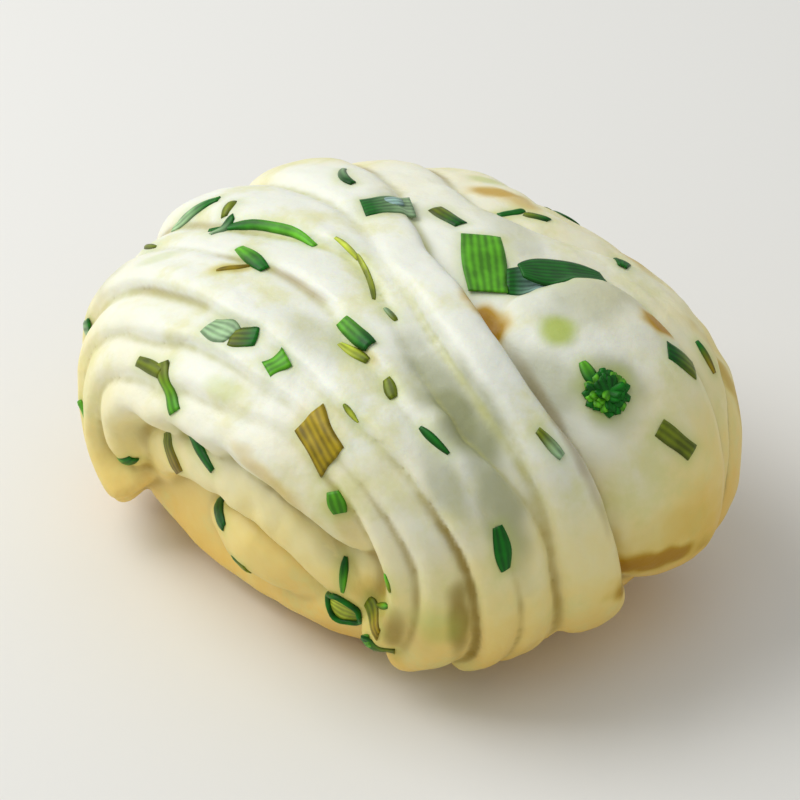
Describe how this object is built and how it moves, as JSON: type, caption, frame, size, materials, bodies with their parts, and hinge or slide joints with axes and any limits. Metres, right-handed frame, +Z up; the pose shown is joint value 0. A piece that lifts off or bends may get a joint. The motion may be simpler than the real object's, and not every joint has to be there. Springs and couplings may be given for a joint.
{
  "type": "steamed spring onion flower roll",
  "caption": "Steamed bun folded from many soft layers of dough that arch side by side over a mound, with chopped spring onion in the folds and a flat underside.",
  "frame": {"origin": "centre of the roll's box, on the surface it rests on", "axes": "+X along the leaves of dough towards their splayed front feet, +Y across the leaves towards the far end, +Z up"},
  "size_m": [0.0873, 0.0688, 0.0449],
  "materials": {
    "steamed_dough": "smooth moist steamed wheat dough, soft sheen",
    "spring_onion": "cut spring onion leaf, softened by steam"
  },
  "bodies": {
    "root": {"roll": "steamed_dough"}
  },
  "joints": []
}
